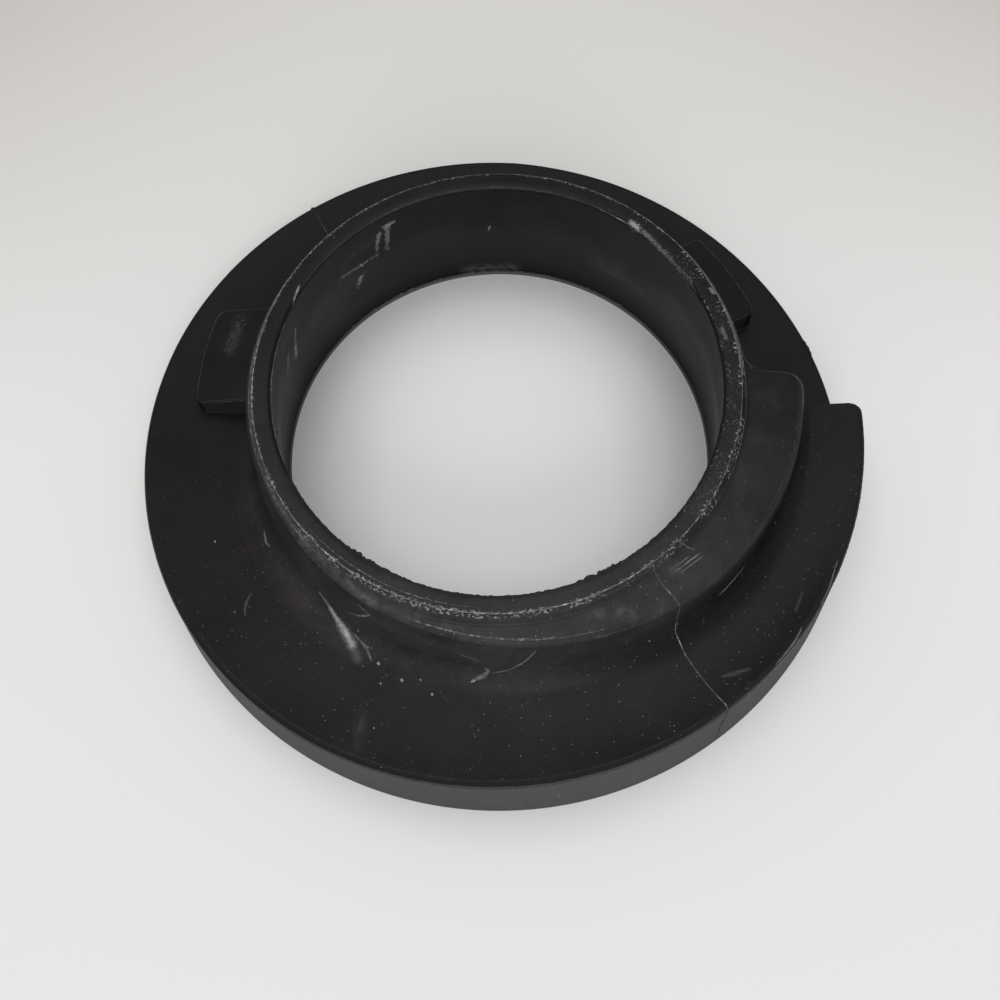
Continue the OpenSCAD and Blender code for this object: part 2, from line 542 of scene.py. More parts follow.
        along = s.shoulder_x * a.cos() + s.shoulder_y * a.sin()
        shoulder_r = along + (
            s.shoulder_d * s.shoulder_d / 4 - s.shoulder_x * s.shoulder_x - s.shoulder_y * s.shoulder_y + along * along
        ).root()
        to_end = (s.end_az + 360 - a) * to_radians
        out = (shoulder_r - neck_r) * ((a - s.shoulder_start) / s.shoulder_grow).ease()
        out = out - round_drop(s.corner_r, to_end * shoulder_r)
        fillet = round_drop(s.end_fillet, (a - s.end_az - s.end_gap) * to_radians * neck_r)
        out = out.most(fillet).most(s.ledge)
        edge = s.front_round + (s.edge_round - s.front_round) * ((a - s.parting_az) / 3).ease()
        edge = edge.least(s.ledge + out / 4)
        roll = round_drop(s.end_round, to_end * shoulder_r) * (out / 3).unit()

        start = Spot(neck_r, neck_z)
        rim_edge = Spot(rim_r, s.neck_h)
        corner = Spot(neck_r + out, neck_z - out * tilt_k - roll)
        before = corner - Spot(edge.least(out / 2), -(edge.least(out / 2) * tilt_k))
        after = corner + Spot(edge * draft_k, -edge)
        arc_z = floor + seat
        arc_r = corner.r + (corner.z - arc_z) * draft_k + seat / s.draft.cos()
        lip_edge = Spot(outer_r(lip) - inset, lip)
        lip_in = Spot(lip_edge.r - s.lip_round, lip)
        lip_out = Spot(lip_edge.r + s.lip_round * draft_k, lip - s.lip_round)
        small = s.small_round
        foot_up = Spot(outer_r(small) - inset, small)
        foot = Spot(base_r - inset, small * 0.0)
        foot_in = Spot(base_r - inset - small, small * 0.0)
        taper = (s.bore_base_d - s.bore_top_d) / 2 / s.neck_h
        bore_r, bore_top = s.bore_base_d / 2, s.bore_top_d / 2
        lip_foot = Spot(bore_r, s.foot_lip_h * 0.25)
        lip_crown = Spot(bore_r + s.foot_lip, s.foot_lip_h)
        bore_low = Spot(bore_r + s.foot_lip * 0.9 - taper * s.foot_lip_h, s.foot_lip_h + 2.5)
        bevel_low = Spot(bore_top + taper * s.bore_bevel, s.neck_h - s.bore_bevel)
        bevel_top = Spot(bore_top + s.bore_bevel, s.neck_h)
        rim_in = bevel_top + Spot(small, small * 0.0)
        rim_out = rim_edge - Spot(small, small * 0.0)
        slope_in = rim_edge.toward(start, small)

        def groove(t: Number) -> Spot:
            """Round of the groove from the neck's wall to its floor."""
            b = (180 + s.draft) + (90 - s.draft) * t
            return Spot(arc_r + seat * b.cos(), arc_z + seat * b.sin())

        def ramp_floor(t: Number) -> Spot:
            """Floor of the groove, rising to the lip."""
            return Spot(arc_r + (lip_in.r - arc_r) * t, floor + (lip - floor) * (t * t))

        arc_in = Spot(arc_r - seat * s.draft.cos(), arc_z - seat * s.draft.sin())
        return {
            Band.RIM: (line, rim_in, rim_out),
            Band.RIM_EDGE: (bend, rim_out, rim_edge, slope_in),
            Band.SLOPE: (line, slope_in, start),
            Band.SHOULDER: (line, start, before),
            Band.SHOULDER_EDGE: (bend, before, corner, after),
            Band.NECK: (line, after, arc_in),
            Band.GROOVE: (groove,),
            Band.RAMP: (ramp_floor,),
            Band.LIP: (bend, lip_in, lip_edge, lip_out),
            Band.WALL: (line, lip_out, foot_up),
            Band.FOOT: (bend, foot_up, foot, foot_in),
            Band.UNDERSIDE: (line, foot_in, Spot(bore_r, small * 0.0)),
            Band.BORE_FOOT: (bend, Spot(bore_r, small * 0.0), lip_foot, lip_crown),
            Band.BORE: (line, bore_low, bevel_low),
            Band.BEVEL: (bend, bevel_low, Spot(bore_top + s.bore_bevel * 0.3, s.neck_h - s.bore_bevel * 0.3), bevel_top),
        }

    def tree(self) -> bpy.types.NodeTree:
        """Geometry tree that moves a bare lattice to the moulding's section at each column's azimuth."""
        tree, s, geometry = new_tree("swept_ring", self.sizes())
        a, t, band = carried(tree, "azimuth"), carried(tree, "share"), carried(tree, "band", "INT")
        rule = self.rule(s, a)
        r_pick = add_node(tree, "GeometryNodeIndexSwitch", data_type="FLOAT")
        z_pick = add_node(tree, "GeometryNodeIndexSwitch", data_type="FLOAT")
        for node in (r_pick, z_pick):
            while len(node.index_switch_items) < len(Band):
                node.index_switch_items.new()
            feed(tree, node.inputs["Index"], band)
        for stretch in Band:
            shape, *spots = rule[stretch]
            spot = shape(*spots, t)
            feed(tree, r_pick.inputs[str(stretch.value)], spot.r)
            feed(tree, z_pick.inputs[str(stretch.value)], spot.z)
        r, z = Field(tree, r_pick.outputs[0]), Field(tree, z_pick.outputs[0])
        x, y = r * a.cos(), r * a.sin()
        place = add_node(tree, "ShaderNodeCombineXYZ", {"X": x, "Y": y, "Z": z})
        noise = add_node(tree, "ShaderNodeTexNoise", {"Vector": place.outputs[0], "Scale": 0.045, "Detail": 1.0})
        wave = (Field(tree, noise.outputs[0]) - 0.5) * s.waviness * 2 * (z / 2).unit()
        place = add_node(tree, "ShaderNodeCombineXYZ", {"X": x + wave * a.cos(), "Y": y + wave * a.sin(), "Z": z + wave})
        moved = add_node(tree, "GeometryNodeSetPosition", {"Geometry": geometry, "Position": place.outputs[0]})
        soft = add_node(tree, "GeometryNodeSetShadeSmooth", {"Geometry": moved.outputs[0]})
        end_tree(tree, soft.outputs[0], s.material)
        return tree

    def lattice(self) -> bpy.types.Object:
        """Bare closed lattice whose points carry azimuth, band and share of the band."""
        azimuths = self.azimuths()
        stations = [(band.value, i / n) for band, n in STATIONS.items() for i in range(n)]
        points = [(math.cos(math.radians(a)), math.sin(math.radians(a)), i * 0.01) for a in azimuths for i in range(len(stations))]
        made = mesh_object("ring_lattice", points, faces=lattice_faces(len(azimuths), len(stations)))
        mesh = made.data
        for name, kind, values in (
            ("azimuth", "FLOAT", [a for a in azimuths for _ in stations]),
            ("band", "INT", [b for _ in azimuths for b, _ in stations]),
            ("share", "FLOAT", [t for _ in azimuths for _, t in stations]),
        ):
            mesh.attributes.new(name, kind, "POINT").data.foreach_set("value", values)
        return made

    def lip_height(self, a: float) -> float:
        """Height of the flange's lip at an azimuth on the open ramp."""
        share = min(1.0, max(0.0, (a - self.ramp_start) / (360 - self.ramp_start)))
        return self.lip_low + (self.lip_high - self.lip_low) * (1 - math.cos(math.pi * share)) / 2

    def lug(self, name: str) -> bpy.types.Object:
        """One lug: a parallel-sided block with a drafted outer face, its edges rounded.

        Args:
            name: Which lug, a key of lug_sides.

        Returns:
            A closed mesh object in metres that runs into the neck and the flange.
        """
        direction, side = self.lug_sides[name]
        draft_k = math.tan(math.radians(self.draft))
        top_r = self.lug_d / 2
        middle = direction + math.degrees(math.asin((side + self.lug_w / 2) / top_r))
        edge_z = max(self.web_min, self.lip_height(middle) - self.groove_depth) + self.lug_rise
        turn = Matrix.Rotation(math.radians(direction), 3, "Z")
        centre = turn.inverted() @ Vector((self.lug_x, self.lug_y, 0.0))
        size, inner_r = self.lug_round, self.rim_d / 2 + 3.0
        first_corner, last_corner = self.lug_corners[name]
        rounds = (0.0, 0.03, 0.12, 0.3, 0.55, 0.8, 1.0)
        middles = self.lug_w - first_corner - last_corner
        across = [first_corner * k for k in rounds]
        across += [first_corner + middles * i / 14 for i in range(1, 14)]
        across += [self.lug_w - last_corner * k for k in reversed(rounds)]

        def drop(radius: float, distance: float) -> float:
            """What a round takes away at a distance from the face that it runs into."""
            return round_drop(Plain(radius), Plain(distance)).value

        rows = []
        for y in across:
            to_side = min(y, self.lug_w - y)
            plan = drop(first_corner if y < self.lug_w / 2 else last_corner, to_side)
            top = drop(size, to_side)
            profile = [(top_r + (edge_z - 0.8) * draft_k, 0.8)]
            profile += [(top_r + draft_k * (edge_z - z), z) for z in (edge_z * 0.5, edge_z - size * 2)]
            low, high = Spot(Plain(top_r + size * draft_k), Plain(edge_z - size)), Spot(Plain(top_r), Plain(edge_z))
            crown = Spot(Plain(top_r - size), Plain(edge_z + size * draft_k))
            bends = [bend(low, high, crown, Plain(k / 6)) for k in range(7)]
            profile += [(spot.r.value, spot.z.value) for spot in bends]
            profile += [(top_r - size - step, edge_z + (size + step) * draft_k) for step in (0.5, 3.0, 6.0, 9.0)]
            row = []
            for rho, z in profile:
                lateral = side + y - centre.y
                x = centre.x + math.sqrt(max(0.0, (rho - plan) ** 2 - lateral**2))
                row.append(Vector((x, side + y, z - top if z > edge_z - size * 2 else z)))
            inner_x = math.sqrt(inner_r**2 - (side + y) ** 2)
            row.append(Vector((inner_x, side + y, row[-1].z + (row[-1].x - inner_x) * draft_k)))
            row.append(Vector((inner_x, side + y, 0.8)))
            rows.append([turn @ p for p in row])
        crest = [row[6] for row in rows]
        self.lug_edges[name] = [*reversed(rows[0][7:-2]), *crest, *rows[-1][7:-2]]
        count = len(rows[0])
        points = [p * MM for row in rows for p in row]
        faces = [face[::-1] for face in lattice_faces(len(across), count, close_columns=False)]
        faces += [tuple(range(count)), tuple(reversed(range(len(points) - count, len(points))))]
        made = mesh_object(name, points, faces=faces)
        made.data.shade_smooth()
        return made

    def build(self, material: bpy.types.Material) -> bpy.types.Object:
        """Builds and dresses the moulding.

        Args:
            material: The rubber.

        Returns:
            The finished piece, which stands for the CAD solid.
        """
        ring = self.lattice()
        run_tree(ring, self.tree(), {**self.sizes(), "Material": material})
        lugs = [self.lug(name) for name in self.lug_sides]
        for lug in lugs:
            lug.data.materials.append(material)
            union = ring.modifiers.new(lug.name, "BOOLEAN")
            union.operation, union.solver, union.object = "UNION", "MANIFOLD", lug
        whole = plain_mesh(ring, "united_ring")
        for lug in lugs:
            bpy.data.objects.remove(lug)
        for name in ("azimuth", "band", "share"):
            if name in whole.data.attributes:
                whole.data.attributes.remove(whole.data.attributes[name])
        whole.data.set_sharp_from_angle(angle=math.radians(38))
        even = whole.modifiers.new("even_shading", "WEIGHTED_NORMAL")
        even.keep_sharp, even.mode = True, "FACE_AREA"
        piece = plain_mesh(whole, "moulded_ring")
        finish_piece(piece, replaces=True)
        return piece


@dataclass(frozen=True)
class Trace:
    """One line of flash or wear: a path on the moulding and how wide and how pale it is."""

    points: tuple
    width: float = 0.3
    start: float = 1.0
    end: float = 1.0
    taper: float = 1.0
    strength: float = 0.6
    closed: bool = False


@dataclass
class TraceSet:
    """Lines that lie on the moulding, each drawn out along its path by one geometry tree."""

    name: str
    pitch: float
    ragged: float
    wander: float
    grain: float
    across: float
    up: float
    height: float
    drape: float
    sides: int
    traces: list[Trace] = field(default_factory=list)

    CARRIED = ("width", "start", "end", "taper", "strength")

    def tree(self) -> bpy.types.NodeTree:
        """Geometry tree that lays a ragged cord, fin or film along every path, on the moulding's surface."""
        sizes = {
            "pitch": self.pitch, "ragged": self.ragged, "wander": self.wander, "grain": self.grain,
            "across": self.across, "up": self.up, "height": self.height, "drape": self.drape,
        }
        tree, s, geometry = new_tree(self.name, sizes, others=("Surface",))
        target = add_node(tree, "GeometryNodeObjectInfo", {"Object": s.surface})
        grown = add_node(tree, "GeometryNodeTransform", {"Geometry": target.outputs["Geometry"], "Scale": (1 / MM,) * 3})
        surface = grown.outputs[0]

        def mixed(scale: Value, amount: Value) -> bpy.types.NodeSocket:
            """Vector noise around zero that changes with the place and the path's seed."""
            noise = add_node(tree, "ShaderNodeTexNoise", {"Scale": scale, "Detail": 2.0})
            shifted = add_node(tree, "ShaderNodeVectorMath", {0: noise.outputs["Color"], 1: (-0.5,) * 3}, operation="ADD")
            scaled = add_node(tree, "ShaderNodeVectorMath", {0: shifted.outputs[0], "Scale": amount}, operation="SCALE")
            return scaled.outputs[0]

        def nearest() -> tuple[bpy.types.NodeSocket, bpy.types.NodeSocket]:
            """The surface's nearest point and its normal there."""
            near = add_node(tree, "GeometryNodeProximity", {"Geometry": surface}, target_element="FACES")
            normal = tree.nodes.new("GeometryNodeInputNormal")
            inputs = {"Mesh": surface, "Value": normal.outputs[0]}
            sample = add_node(tree, "GeometryNodeSampleNearestSurface", data_type="FLOAT_VECTOR")
            for name, value in inputs.items():
                feed(tree, sample.inputs[name], value)
            return near.outputs["Position"], sample.outputs["Value"]

        curve = add_node(tree, "GeometryNodeMeshToCurve", {"Mesh": geometry})
        round_path = add_node(tree, "GeometryNodeCurveSplineType", {"Curve": curve.outputs[0]}, spline_type="CATMULL_ROM")
        even = add_node(tree, "GeometryNodeResampleCurve", {"Curve": round_path.outputs[0]}, mode="LENGTH")
        feed(tree, even.inputs["Length"], s.pitch)
        shaken = add_node(
            tree, "GeometryNodeSetPosition", {"Geometry": even.outputs[0], "Offset": mixed(s.grain, s.wander)}
        )
        place, normal = nearest()
        laid = add_node(tree, "GeometryNodeSetPosition", {"Geometry": shaken.outputs[0], "Position": place})
        leaned = add_node(tree, "GeometryNodeSetCurveNormal", {"Curve": laid.outputs[0], "Normal": normal}, mode="FREE")

        ring = add_node(tree, "GeometryNodeCurvePrimitiveCircle", {"Resolution": self.sides, "Radius": 1.0}, mode="RADIUS")
        spot = add_node(tree, "GeometryNodeInputPosition")
        parts = add_node(tree, "ShaderNodeSeparateXYZ", {0: spot.outputs[0]})
        marked = ring.outputs["Curve"]
        for name, output in (("lift", "X"), ("side", "Y")):
            store = add_node(tree, "GeometryNodeStoreNamedAttribute", {"Geometry": marked, "Value": parts.outputs[output]})
            store.inputs["Name"].default_value = name
            marked = store.outputs[0]
        oval = add_node(tree, "ShaderNodeCombineXYZ", {"X": s.up, "Y": s.across, "Z": 1.0})
        profile = add_node(tree, "GeometryNodeTransform", {"Geometry": marked, "Scale": oval.outputs[0]})

        along = Field(tree, tree.nodes.new("GeometryNodeSplineParameter").outputs["Factor"])
        start, end, taper = carried(tree, "start"), carried(tree, "end"), carried(tree, "taper")
        noise = add_node(tree, "ShaderNodeTexNoise", {"Scale": s.grain, "Detail": 3.0})
        rough = (1 + (Field(tree, noise.outputs[0]) - 0.5) * s.ragged * 4).most(0.08)
        point = 1 - taper + taper * (along * (1 - along) * 4).root()
        size = carried(tree, "width") / 2 * (start + (end - start) * along) * point * rough
        body = add_node(
            tree, "GeometryNodeCurveToMesh",
            {"Curve": leaned.outputs[0], "Profile Curve": profile.outputs[0], "Scale": size.most(0.01), "Fill Caps": True},
        )
        place, normal = nearest()
        lift = carried(tree, "lift") * s.height
        raised = add_node(tree, "ShaderNodeVectorMath", {0: normal, "Scale": lift}, operation="SCALE")
        draped = add_node(tree, "ShaderNodeVectorMath", {0: place, 1: raised.outputs[0]}, operation="ADD")
        here = add_node(tree, "GeometryNodeInputPosition")
        blend = add_node(tree, "ShaderNodeMix", {0: s.drape, 4: here.outputs[0], 5: draped.outputs[0]}, data_type="VECTOR")
        final = add_node(tree, "GeometryNodeSetPosition", {"Geometry": body.outputs[0], "Position": blend.outputs[1]})
        skin = add_node(tree, "GeometryNodeStoreNamedAttribute", {"Geometry": final.outputs[0]}, data_type="FLOAT_VECTOR")
        skin.inputs["Name"].default_value = "skin"
        feed(tree, skin.inputs["Value"], normal)
        soft = add_node(tree, "GeometryNodeSetShadeSmooth", {"Geometry": skin.outputs[0]})
        end_tree(tree, soft.outputs[0], s.material)
        return tree

    def build(self, surface: bpy.types.Object, material: bpy.types.Material) -> bpy.types.Object:
        """Builds every line of the set as one piece.

        Args:
            surface: The moulding that they lie on.
            material: Their finish.

        Returns:
            The finished piece.
        """
        points, edges, values = [], [], {name: [] for name in self.CARRIED}
        for trace in self.traces:
            first, count = len(points), len(trace.points)
            points += trace.points
            edges += [(first + i, first + i + 1) for i in range(count - 1)]
            edges += [(first + count - 1, first)] if trace.closed else []
            for name in self.CARRIED:
                values[name] += [getattr(trace, name)] * count
        paths = mesh_object(self.name + "_paths", points, edges=edges)
        for name, numbers in values.items():
            paths.data.attributes.new(name, "FLOAT", "POINT").data.foreach_set("value", numbers)
        sizes = ("pitch", "ragged", "wander", "grain", "across", "up", "height", "drape")
        values = {name: getattr(self, name) for name in sizes}
        run_tree(paths, self.tree(), {**values, "Surface": surface, "Material": material})
        piece = plain_mesh(paths, self.name)
        finish_piece(piece)
        return piece


@dataclass
class Flash:
    """The mould's flash: ridges along its parting edges, and thin webs that hang off them; some pale lines among the
    ridges are painted highlights on rounded edges.
    """

    moulding: Moulding
    step: float = 3.0

    PARTING_FRONT = (
        (28.2, -41.5, 39.3), (28.9, -42.5, 38.6), (30, -44.5, 36.7), (31.8, -46.7, 36.2), (33.6, -48.9, 35),
        (33.9, -50, 25.8), (34.1, -51, 23.4), (35.1, -52.8, 21.3), (36.2, -55.2, 20.3), (37.3, -57.2, 20.2),
        (39.3, -60.6, 20.6), (41.2, -63.6, 21.5), (42.7, -65.8, 22.4), (43, -66.7, 22.3),
    )

    def sweep(self, first: float, last: float, band: Band, share: float, lift: float = 0.0) -> tuple:
        """Points along one line of the section from azimuth to azimuth."""
        count = max(2, round(abs(last - first) / self.step))
        turns = (first + (last - first) * i / count for i in range(count + 1))
        return tuple(self.moulding.point(a, band, share, lift) for a in turns)

    def ring(self, band: Band, share: float) -> tuple:
        """Points right round one line of the section."""
        return self.sweep(0.6, 357.6, band, share)

    def down(self, a: float, stops: Iterable[tuple[Band, float, float]]) -> tuple:
        """Points down the section near an azimuth, each with its own small turn."""
        return tuple(self.moulding.point(a + turn, band, share) for band, share, turn in stops)

    def ridges(self) -> TraceSet:
        """Thin ragged ridges, bright where the rubber is torn; the pale lines on the lugs' top edges and on the lip at
        the right are painted highlights, and those along the shoulder's edge are flash with a painted highlight.
        """
        line_set = TraceSet("flash_ridges", 0.3, 0.6, 0.22, 1.7, 1.0, 0.8, 0.0, 0.0, 5)
        add = line_set.traces.append
        for first, last, width, strength in (
            (146, 215, 0.3, 0.62), (214, 252, 0.3, 0.7), (250, 308, 0.36, 0.8), (306, 352, 0.25, 0.5),
            (350, 412, 0.24, 0.5), (408, 470, 0.2, 0.42), (468, 508, 0.22, 0.6),
        ):
            add(Trace(self.sweep(first, last, Band.RIM_EDGE, 0.5), width, taper=0.5, strength=strength))
        add(Trace(self.sweep(164, 226, Band.SLOPE, 0.6), 0.19, strength=0.5))
        add(Trace(self.sweep(62, 164, Band.SLOPE, 0.4), 0.17, strength=0.42))
        add(Trace(self.sweep(-40, 62, Band.SLOPE, 0.75), 0.17, strength=0.42))
        add(Trace(self.sweep(220, 264, Band.RIM, 0.66), 0.2, strength=0.45))
        add(Trace(self.sweep(160, 203, Band.BEVEL, 0.02), 0.2, strength=0.5))
        add(Trace(self.sweep(22, 60, Band.BEVEL, 0.4), 0.3, strength=0.45))
        add(Trace(self.sweep(-24, 20, Band.BEVEL, 0.1), 0.15, strength=0.34))
        # Flash along the shoulder's edge, with a painted highlight on its round.
        add(Trace(self.sweep(248, 290, Band.SHOULDER, 0.95), 0.3, strength=0.5))
        add(Trace(self.sweep(253, 281, Band.SHOULDER, 0.88), 0.2, strength=0.4))
        add(Trace(self.sweep(243, 303, Band.SHOULDER_EDGE, 0.5), 0.15, strength=0.2))
        add(Trace(self.sweep(305, 357, Band.SHOULDER_EDGE, 0.3), 0.16, strength=0.12))
        end = [self.moulding.point(a, Band.SHOULDER_EDGE, 0.35) for a in (357.6, 358.6, 359.3, 359.8, 360.1, 360.3)]
        end += [self.moulding.point(360.38, Band.SHOULDER, share) for share in (0.8, 0.6, 0.4, 0.2)]
        end += [self.moulding.point(a, Band.SHOULDER_EDGE, 0.1) for a in (1.6, 3.0, 5.5)]
        add(Trace(tuple(end), 0.2, strength=0.32))
        edge = [self.moulding.point(358.7, Band.RAMP, share) for share in (0.02, 0.3, 0.6, 0.9)]
        edge += [self.moulding.point(a, Band.LIP, 0.3) for a in (358.4, 357.8, 357.0, 355.5)]
        add(Trace(tuple(edge), 0.18, strength=0.2))
        # Painted highlight on the lip's round, from the step down the right side.
        add(Trace(self.sweep(312, 357.5, Band.LIP, 0.7), 0.3, strength=0.16))
        # Painted highlights along the lugs' top edges.
        for name, points in self.moulding.lug_edges.items():
            add(Trace(tuple(points), 0.15, taper=0.3, strength=0.24 if name == "lug_left" else 0.2))
        add(Trace(self.PARTING_FRONT[:5], 0.26, taper=0.4, strength=0.5))
        add(Trace(self.PARTING_FRONT[4:], 0.26, start=0.7, end=1.4, taper=0.4, strength=0.55))
        wall = ((Band.LIP, 0.5, -1.0), (Band.WALL, 0.15, -1.2), (Band.WALL, 0.5, -1.6), (Band.WALL, 0.9, -1.5))
        add(Trace(self.down(303.9, wall), 0.55, taper=0.3, strength=0.2))
        back = ((Band.RIM, 0.3, 1.0), (Band.RIM, 0.9, 0.4), (Band.SLOPE, 0.7, 0.2), (Band.NECK, 0.5, 0.0))
        add(Trace(self.down(133.4, back), 0.2, strength=0.3))
        ramp = ((Band.RAMP, 0.1, 2.6), (Band.RAMP, 0.55, 0.8), (Band.RAMP, 0.97, 0.1))
        add(Trace(self.down(124.0, ramp), 0.24, strength=0.24))
        add(Trace(self.down(124.0, ((Band.LIP, 0.4, 0.0), (Band.WALL, 0.3, 0.0))), 1.3, taper=0.6, strength=0.2))
        add(Trace(self.sweep(15.6, 18.8, Band.LIP, 0.5), 0.9, taper=0.6, strength=0.05))
        return line_set

    def webs(self) -> TraceSet:
        """Thin webs that stand off the bore's upper edge and its foot."""
        line_set = TraceSet("flash_webs", 0.4, 0.8, 0.25, 1.5, 0.14, 1.0, 0.0, 0.0, 6)
        add = line_set.traces.append
        add(Trace(self.sweep(200, 336, Band.BORE, 0.985), 0.55, strength=0.2))
        add(Trace(self.sweep(226, 250, Band.BORE, 0.985), 1.0, strength=0.1))
        add(Trace(self.sweep(286, 300, Band.BORE, 0.985), 1.1, strength=0.1))
        add(Trace(self.sweep(40, 140, Band.BORE_FOOT, 0.75), 0.6, strength=0.3))
        return line_set


class Wear:
    """Scuffs, streaks and smears that handling has left on the rubber, and pale and dark lines painted as highlights
    and shade.
    """

    SCUFFS: tuple[Trace, ...] = (
        Trace(((-0.1, 47.8, 23.3), (-0.3, 47.9, 22), (-0.5, 48, 20.7)), 0.7, strength=0.5),
        Trace(((-44.9, 12.4, 35.4), (-45.2, 12.1, 33.5), (-45.5, 11.7, 31.6)), 0.7, strength=0.16),
        Trace(((-41, 23.3, 39.5), (-42, 20.6, 39.1), (-42.6, 18.6, 38.8)), 1.3, start=0.6, end=0.5, strength=0.5),
        Trace(((-32.1, -47.2, 17.6), (-29.6, -49.9, 17), (-28.1, -53.3, 16.1)), 1.1, strength=0.24),
        Trace(((-32, -44.5, 24.1), (-29.3, -46.1, 26.8), (-26.5, -47.2, 31.2)), 0.9, start=0.6, end=1.5, strength=0.36),
        Trace(((-28.6, -45.4, 33.3), (-27.5, -46.4, 32), (-26.5, -47.2, 31.2)), 0.7, strength=0.36),
        Trace(((-52.5, -22.5, 13.5), (-52, -25.2, 13.3), (-51, -26.5, 13.7)), 0.9, strength=0.34),
        Trace(((-54.6, -36.4, 13.1), (-55.7, -39.1, 13.5), (-55.6, -41.9, 13.8)), 0.7, strength=0.14),
        Trace(((5.6, -56, 34.1), (3.2, -56.9, 27.7), (0.1, -57.4, 23.2), (-3.2, -57.6, 21.6)), 0.7, strength=0.4),
        Trace(((-3.6, -56.8, 22.9), (-4.6, -57.9, 20.9), (-6, -58.2, 20), (-7.5, -58.6, 19.1)), 1.7, strength=0.3),
        Trace(((-6.5, -58.5, 19.4), (-7.6, -58.8, 19.0)), 0.7, strength=0.8),
        Trace(((-4.6, -57.0, 23.4), (-4.0, -57.3, 22.0), (-4.3, -57.8, 20.9)), 0.8, strength=0.3),
        Trace(((-9.8, -54.8, 28.8), (-7.3, -55.6, 27.4), (-4.6, -56.4, 25.8)), 0.5, strength=0.4),
        Trace(((32.3, -41.8, 36.8), (36, -39.3, 36.7)), 0.35, strength=0.3),
        Trace(((32.8, -42.4, 36.7), (37.4, -39.3, 36.5)), 0.35, strength=0.3),
        Trace(((33.8, -42.6, 36.5), (38.6, -39.3, 36.4)), 0.35, strength=0.3),
        Trace(((34.5, -41.1, 36.7), (38.3, -38.6, 36.5)), 0.35, strength=0.26),
        Trace(((33.1, -37.1, 39.6), (37.3, -38.2, 36.7)), 0.5, strength=0.2),
        # Painted highlight: a bright arc line on the neck wall below the shoulder at the front right.
        Trace(((49.3, -38.2, 26.1), (47.1, -40.7, 25.4), (43.1, -44.4, 24.8)), 0.6, strength=0.4),
        Trace(((42.5, -60.1, 21), (45.7, -59.5, 21.4), (48.9, -58.7, 21.9)), 1.3, strength=0.09),
        Trace(((59, -47.7, 22.2), (61.3, -43.1, 22.2)), 1.0, strength=0.07),
        Trace(((68.9, -37.4, 23.6), (66, -43.6, 23.4), (63.9, -46.7, 23.3)), 0.4, strength=0.3),
        Trace(((59.7, -51, 23.2), (57.6, -54.2, 23.1), (53.5, -58.5, 23)), 0.45, strength=0.36),
    )

    CHIPS: tuple[tuple[float, float, float, float], ...] = (
        (-26.7, -53.7, 15.6, 0.9), (-26.4, -57.9, 15.8, 0.6), (-22.0, -57.5, 16.2, 0.9), (-15.8, -60.8, 17.0, 0.7),
        (-17.9, -57.5, 16.6, 0.5), (-28.3, -49.7, 15.8, 0.5), (-27.4, -49.8, 15.8, 0.4), (-63.8, -24.2, 12.5, 0.6),
    )

    def scuffs(self, flash: Flash) -> TraceSet:
        """Thin films laid on the surface: torn or dusty rubber, painted highlights and painted shade."""
        line_set = TraceSet("scuffs", 0.4, 0.22, 0.3, 0.8, 1.0, 0.05, 0.03, 1.0, 12, list(self.SCUFFS))
        add = line_set.traces.append
        for x, y, z, size in self.CHIPS:
            add(Trace(((x, y, z), (x + size * 0.5, y + size * 0.3, z)), size, taper=0.0, strength=0.75))
        # Painted highlights along the lip's outer round.
        add(Trace(flash.sweep(200, 303, Band.LIP, 0.9), 0.6, taper=0.6, strength=0.14))
        add(Trace(flash.sweep(203, 236, Band.LIP, 0.85), 0.7, taper=1.0, strength=0.4))
        add(Trace(flash.sweep(306, 346, Band.LIP, 0.85), 0.6, taper=1.0, strength=0.4))
        # Painted shade: a dark line on the lip's inner edge at the front.
        add(Trace(flash.sweep(205, 300, Band.LIP, 0.2), 0.7, taper=0.4, strength=0.0))
        add(Trace(flash.sweep(215, 300, Band.RAMP, 0.965), 0.45, taper=0.6, strength=0.045))
        # Painted highlight on the bore's rounded top edge at the back.
        add(Trace(flash.sweep(58, 152, Band.BEVEL, 0.5), 1.0, taper=0.7, strength=0.06))
        # Painted shade: dark bands on the bore's bevel at the left and the right.
        add(Trace(flash.sweep(148, 206, Band.BEVEL, 0.35), 0.9, taper=0.5, strength=0.0))
        add(Trace(flash.sweep(-30, 30, Band.BEVEL, 0.35), 0.8, taper=0.5, strength=0.0))
        return line_set


def new_group(name: str, inputs: dict[str, object]) -> tuple[bpy.types.NodeTree, bpy.types.Node]:
    """Starts a shader group that reads a place in millimetres and puts out one mask.

    Args:
        name: The group's name.
        inputs: Its inputs beside the place, with their usual values; a triple makes a vector.

    Returns:
        The group and its entry node.
    """
    tree = bpy.data.node_groups.new(name, "ShaderNodeTree")
    tree.interface.new_socket("Place", in_out="INPUT", socket_type="NodeSocketVector")
    for label, value in inputs.items():
        kind = "NodeSocketVector" if isinstance(value, tuple) else "NodeSocketFloat"
        tree.interface.new_socket(label, in_out="INPUT", socket_type=kind).default_value = value
    tree.interface.new_socket("Mask", in_out="OUTPUT", socket_type="NodeSocketFloat")
    return tree, tree.nodes.new("NodeGroupInput")


def close_group(tree: bpy.types.NodeTree, mask: Field) -> bpy.types.NodeTree:
    """Ends a shader group with its mask."""
    tree.links.new(mask.socket, tree.nodes.new("NodeGroupOutput").inputs[0])
    return tree


